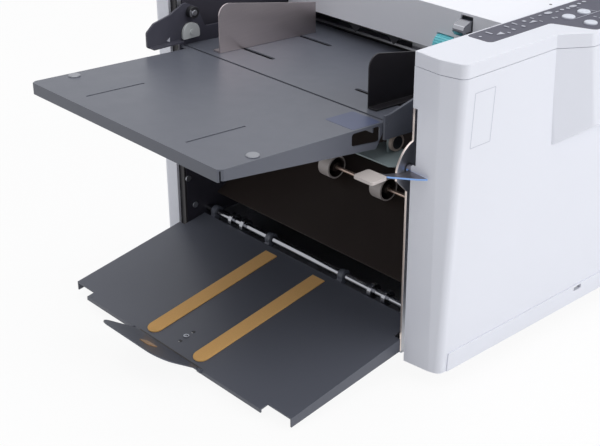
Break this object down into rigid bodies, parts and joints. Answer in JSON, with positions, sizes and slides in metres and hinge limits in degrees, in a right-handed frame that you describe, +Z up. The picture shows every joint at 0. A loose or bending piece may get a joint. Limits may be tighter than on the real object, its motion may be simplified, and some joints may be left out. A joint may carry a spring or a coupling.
{
  "type": "paper folding machine",
  "caption": "Desk paper folding machine: slanted feed tray, friction feeder, buckle folding rollers with two fold plates and a sloping delivery tray.",
  "frame": {"origin": "bottom centre of the machine's box, on the surface it stands on", "axes": "+X the way the paper is fed in, +Y to the far side from the control panel, +Z up"},
  "size_m": [0.8384, 0.452, 0.514],
  "materials": {
    "cover_white": "satin moulded plastic",
    "hood_grey": "satin",
    "paint_grey": "blue-grey powder coat",
    "paint_dark": "near-black satin paint",
    "paint_green": "grey-green paint",
    "guide_taupe": "metallic taupe",
    "zinc_steel": "zinc plated",
    "chrome_steel": "polished",
    "black_plastic": "matt",
    "ivory_plastic": "satin",
    "teal_plastic": "satin",
    "membrane_grey": "satin film",
    "key_white": "satin",
    "felt_tan": "short nap felt",
    "rubber_black": "matt",
    "roller_rubber": "ground",
    "brass_rod": "polished",
    "gear_plastic": "acetal"
  },
  "bodies": {
    "machine": {"near_side_cover": "cover_white", "near_top_cap": "cover_white", "far_side_cover": "cover_white", "base_plate": "zinc_steel", "rubber_feet": "rubber_black", "near_side_frame": "zinc_steel", "far_side_frame": "paint_dark", "cross_bars": "zinc_steel", "tray_pivot_shaft": "chrome_steel", "cover_screws": "zinc_steel", "end_cover": "cover_white", "mains_inlet": "black_plastic", "control_membrane": "membrane_grey", "roller_bushes": "black_plastic", "timing_belts": "rubber_black", "drive_motor": "zinc_steel", "separator_pad": "zinc_steel", "upper_fold_plate": "zinc_steel", "lower_fold_plate": "zinc_steel", "exit_chute": "paint_dark"},
    "start_key": {"start_key": "key_white"},
    "stop_key": {"stop_key": "key_white"},
    "reset_key": {"reset_key": "key_white"},
    "power_switch": {"power_switch": "black_plastic"},
    "top_roller": {"fold_roller_top": "roller_rubber", "top_roller_gear": "gear_plastic"},
    "center_roller": {"fold_roller_center": "roller_rubber", "center_roller_gear": "gear_plastic"},
    "right_roller": {"fold_roller_right": "roller_rubber", "right_roller_gear": "gear_plastic"},
    "bottom_roller": {"fold_roller_bottom": "roller_rubber", "bottom_roller_gear": "gear_plastic"},
    "motor_drive": {"motor_pulley": "gear_plastic"},
    "feed_drive": {"feed_roller": "roller_rubber", "feed_pulley": "gear_plastic"},
    "pickup_arm": {"pickup_arm": "black_plastic"},
    "pickup_roller": {"pickup_roller": "roller_rubber"},
    "feed_deck": {"feed_bed": "paint_grey", "near_feed_bracket": "paint_grey", "far_feed_bracket": "paint_dark", "bracket_knob": "black_plastic", "lift_bracket": "paint_green", "lift_bushing": "ivory_plastic"},
    "height_cam": {"height_cam": "black_plastic"},
    "feed_tray": {"feed_tray": "paint_grey"},
    "near_guide": {"near_paper_guide": "paint_dark"},
    "far_guide": {"far_paper_guide": "guide_taupe"},
    "hood": {"top_cover": "hood_grey", "paper_fins": "black_plastic"},
    "teal_knob": {"teal_knob": "teal_plastic"},
    "hood_latch": {"hood_latch": "chrome_steel"},
    "upper_stop": {"upper_plate_stop": "black_plastic"},
    "lower_stop": {"lower_plate_stop": "black_plastic"},
    "exit_drive": {"exit_shaft": "brass_rod", "exit_paddles": "ivory_plastic"},
    "exit_tray": {"exit_tray": "paint_grey", "felt_strips": "felt_tan"},
    "exit_flap": {"exit_stop_flap": "paint_grey"},
    "eject_lever": {"eject_lever": "chrome_steel", "lever_pad": "ivory_plastic"}
  },
  "joints": [
    {"name": "start_press", "type": "slide", "parent": "machine", "child": "start_key", "axis": [0, 0, -1], "range_m": [0, 0.001], "stiffness_N_per_m": 600},
    {"name": "stop_press", "type": "slide", "parent": "machine", "child": "stop_key", "axis": [0, 0, -1], "range_m": [0, 0.001], "stiffness_N_per_m": 600},
    {"name": "reset_press", "type": "slide", "parent": "machine", "child": "reset_key", "axis": [0, 0, -1], "range_m": [0, 0.001], "stiffness_N_per_m": 600},
    {"name": "switch_rock", "type": "hinge", "parent": "machine", "child": "power_switch", "pos_m": [0.20084, -0.095, 0.1], "axis": [0, 1, 0], "range_deg": [-8, 8]},
    {"name": "center_spin", "type": "hinge", "parent": "machine", "child": "center_roller", "pos_m": [0.02209, 0.023, 0.2316], "axis": [0, 1, 0], "continuous": true},
    {"name": "top_spin", "type": "hinge", "parent": "machine", "child": "top_roller", "pos_m": [0.02209, 0.023, 0.268], "axis": [0, 1, 0], "continuous": true},
    {"name": "right_spin", "type": "hinge", "parent": "machine", "child": "right_roller", "pos_m": [0.05849, 0.023, 0.2316], "axis": [0, 1, 0], "continuous": true},
    {"name": "bottom_spin", "type": "hinge", "parent": "machine", "child": "bottom_roller", "pos_m": [0.02209, 0.023, 0.1952], "axis": [0, 1, 0], "continuous": true},
    {"name": "motor_spin", "type": "hinge", "parent": "machine", "child": "motor_drive", "pos_m": [0.11309, 0.023, 0.108], "axis": [0, 1, 0], "continuous": true},
    {"name": "feed_spin", "type": "hinge", "parent": "machine", "child": "feed_drive", "pos_m": [-0.01091, 0.023, 0.271], "axis": [0, 1, 0], "continuous": true},
    {"name": "arm_swing", "type": "hinge", "parent": "machine", "child": "pickup_arm", "pos_m": [-0.01091, 0.023, 0.271], "axis": [0, 1, 0], "range_deg": [-12, 8]},
    {"name": "pickup_spin", "type": "hinge", "parent": "pickup_arm", "child": "pickup_roller", "pos_m": [-0.04291, 0.023, 0.276], "axis": [0, 1, 0], "continuous": true},
    {"name": "deck_lift", "type": "slide", "parent": "machine", "child": "feed_deck", "axis": [0, 0, 1], "range_m": [-0.024, 0.002]},
    {"name": "cam_turn", "type": "hinge", "parent": "feed_deck", "child": "height_cam", "pos_m": [-0.21191, 0.178, 0.264], "axis": [0, 1, 0], "range_deg": [-20, 20]},
    {"name": "feed_tray_fold", "type": "hinge", "parent": "feed_deck", "child": "feed_tray", "pos_m": [-0.22241, 0.023, 0.2496], "axis": [0, 1, 0], "range_deg": [0, 90]},
    {"name": "near_guide_slide", "type": "slide", "parent": "feed_deck", "child": "near_guide", "axis": [0, -1, 0], "range_m": [-0.05, 0.02]},
    {"name": "far_guide_slide", "type": "slide", "parent": "feed_deck", "child": "far_guide", "axis": [0, 1, 0], "range_m": [-0.05, 0.02]},
    {"name": "hood_swing", "type": "hinge", "parent": "machine", "child": "hood", "pos_m": [0.08009, 0.023, 0.3085], "axis": [0, 1, 0], "range_deg": [0, 65]},
    {"name": "teal_turn", "type": "hinge", "parent": "hood", "child": "teal_knob", "pos_m": [-0.06141, -0.0472, 0.2685], "axis": [0, 1, 0], "range_deg": [-150, 150]},
    {"name": "latch_rock", "type": "hinge", "parent": "hood", "child": "hood_latch", "pos_m": [-0.05591, -0.0738, 0.2925], "axis": [0, 1, 0], "range_deg": [-6, 12]},
    {"name": "upper_stop_slide", "type": "slide", "parent": "machine", "child": "upper_stop", "axis": [0.7431, 0, 0.6691], "range_m": [-0.12, 0.13]},
    {"name": "lower_stop_slide", "type": "slide", "parent": "machine", "child": "lower_stop", "axis": [0.9781, 0, -0.2079], "range_m": [-0.12, 0.13]},
    {"name": "exit_spin", "type": "hinge", "parent": "machine", "child": "exit_drive", "pos_m": [-0.11491, 0.023, 0.119], "axis": [0, 1, 0], "continuous": true},
    {"name": "exit_tray_swing", "type": "hinge", "parent": "machine", "child": "exit_tray", "pos_m": [-0.18791, 0.023, 0.048], "axis": [0, 1, 0], "range_deg": [0, 35]},
    {"name": "flap_fold", "type": "hinge", "parent": "exit_tray", "child": "exit_flap", "pos_m": [-0.37531, 0.023, 0.0138], "axis": [0, 1, 0], "range_deg": [-30, 55]},
    {"name": "eject_swing", "type": "hinge", "parent": "machine", "child": "eject_lever", "pos_m": [-0.21741, -0.149, 0.2128], "axis": [0, 1, 0], "range_deg": [-10, 8]}
  ],
  "couplings": [
    {"joint": "top_spin", "follows": "center_spin", "ratio": -1},
    {"joint": "right_spin", "follows": "center_spin", "ratio": -1},
    {"joint": "bottom_spin", "follows": "center_spin", "ratio": -1},
    {"joint": "motor_spin", "follows": "center_spin", "ratio": 1.4},
    {"joint": "feed_spin", "follows": "center_spin", "ratio": -1},
    {"joint": "exit_spin", "follows": "center_spin", "ratio": 1},
    {"joint": "far_guide_slide", "follows": "near_guide_slide", "ratio": 1}
  ]
}
